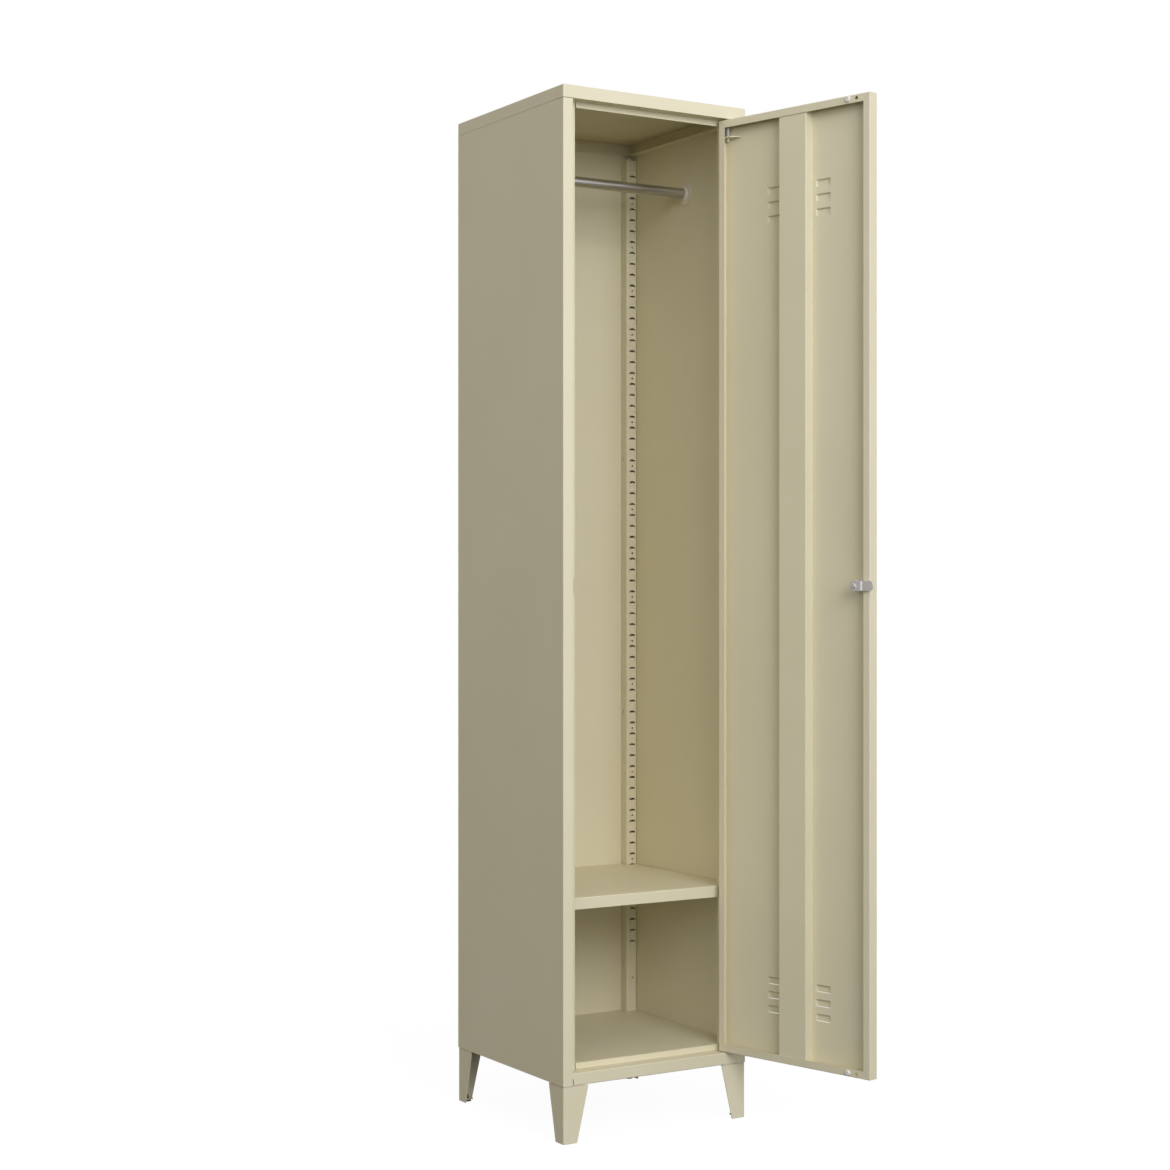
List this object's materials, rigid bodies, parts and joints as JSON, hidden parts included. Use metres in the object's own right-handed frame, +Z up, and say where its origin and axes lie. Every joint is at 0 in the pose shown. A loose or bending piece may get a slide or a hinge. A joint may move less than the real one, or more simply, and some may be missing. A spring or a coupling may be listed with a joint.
{
  "type": "locker cabinet",
  "caption": "Tall narrow steel locker cabinet with a hinged louvred door, hanging rod, lift-off shelf, slotted posts and tapered legs.",
  "frame": {"origin": "middle of the footprint on the floor, measured with the door open as modelled", "axes": "+Z up, +Y towards the cabinet's back, +X towards the hinge side"},
  "size_m": [0.4308, 0.7016, 1.8],
  "materials": {
    "cream_powder_coat": "fine satin powder coat",
    "rod_steel": "brushed",
    "zinc_steel": "bright zinc plate",
    "lock_brass": "turned",
    "cream_plastic": "moulded",
    "white_rubber": "matt",
    "dark_plastic": "moulded"
  },
  "bodies": {
    "cabinet": {"side_panel_left": "cream_powder_coat", "side_panel_right": "cream_powder_coat", "back_panel": "cream_powder_coat", "top_cap": "cream_powder_coat", "top_rail": "cream_powder_coat", "bottom_rail": "cream_powder_coat", "floor_panel": "cream_powder_coat", "post_rear_left": "cream_powder_coat", "post_rear_right": "cream_powder_coat", "post_front_left": "cream_powder_coat", "post_front_right": "cream_powder_coat", "shelf_clip_rear_left": "zinc_steel", "shelf_clip_rear_right": "zinc_steel", "shelf_clip_front_left": "zinc_steel", "shelf_clip_front_right": "zinc_steel", "hanging_rod": "rod_steel", "rod_socket_left": "cream_plastic", "rod_socket_right": "cream_plastic", "leg_front_left": "cream_powder_coat", "leg_front_right": "cream_powder_coat", "leg_rear_left": "cream_powder_coat", "leg_rear_right": "cream_powder_coat", "leg_bolt_front_left": "zinc_steel", "leg_bolt_front_right": "zinc_steel", "leg_bolt_rear_left": "zinc_steel", "leg_bolt_rear_right": "zinc_steel", "back_screw_left_1": "zinc_steel", "back_screw_left_2": "zinc_steel", "back_screw_left_3": "zinc_steel", "back_screw_right_1": "zinc_steel", "back_screw_right_2": "zinc_steel", "back_screw_right_3": "zinc_steel", "lower_hinge_bush": "white_rubber"},
    "door": {"door_panel": "cream_powder_coat", "door_stiffener": "cream_powder_coat", "upper_hinge_bracket": "cream_powder_coat", "hinge_spring": "zinc_steel", "lower_hinge_pin": "zinc_steel", "bumper_top": "white_rubber", "bumper_bottom": "white_rubber", "lock_housing": "zinc_steel", "lock_nut": "zinc_steel"},
    "lock": {"lock_plug": "lock_brass", "lock_cam": "zinc_steel", "cam_screw": "zinc_steel"},
    "upper_pin": {"upper_hinge_pin": "zinc_steel"},
    "shelf": {"shelf": "cream_powder_coat"},
    "foot_front_left": {"leveller_front_left": "dark_plastic"},
    "foot_front_right": {"leveller_front_right": "dark_plastic"},
    "foot_rear_left": {"leveller_rear_left": "dark_plastic"},
    "foot_rear_right": {"leveller_rear_right": "dark_plastic"}
  },
  "joints": [
    {"name": "door_hinge", "type": "hinge", "parent": "cabinet", "child": "door", "pos_m": [0.12961, -0.02448, 0.95], "axis": [0, 0, 1], "range_deg": [-104.2, 14]},
    {"name": "lock_turn", "type": "hinge", "parent": "door", "child": "lock", "pos_m": [0.1852, -0.31347, 0.9485], "axis": [-0.9694, -0.2453, 0], "range_deg": [0, 90]},
    {"name": "pin_release", "type": "slide", "parent": "door", "child": "upper_pin", "axis": [0, 0, -1], "range_m": [0, 0.008], "stiffness_N_per_m": 600, "springref_m": -0.008, "deforming": ["hinge_spring"]},
    {"name": "shelf_lift", "type": "slide", "parent": "cabinet", "child": "shelf", "axis": [0, 0, 1], "range_m": [0, 0.105]},
    {"name": "foot_screw_front_left", "type": "slide", "parent": "cabinet", "child": "foot_front_left", "axis": [0, 0, -1], "range_m": [0, 0.006]},
    {"name": "foot_screw_front_right", "type": "slide", "parent": "cabinet", "child": "foot_front_right", "axis": [0, 0, -1], "range_m": [0, 0.006]},
    {"name": "foot_screw_rear_left", "type": "slide", "parent": "cabinet", "child": "foot_rear_left", "axis": [0, 0, -1], "range_m": [0, 0.006]},
    {"name": "foot_screw_rear_right", "type": "slide", "parent": "cabinet", "child": "foot_rear_right", "axis": [0, 0, -1], "range_m": [0, 0.006]}
  ]
}
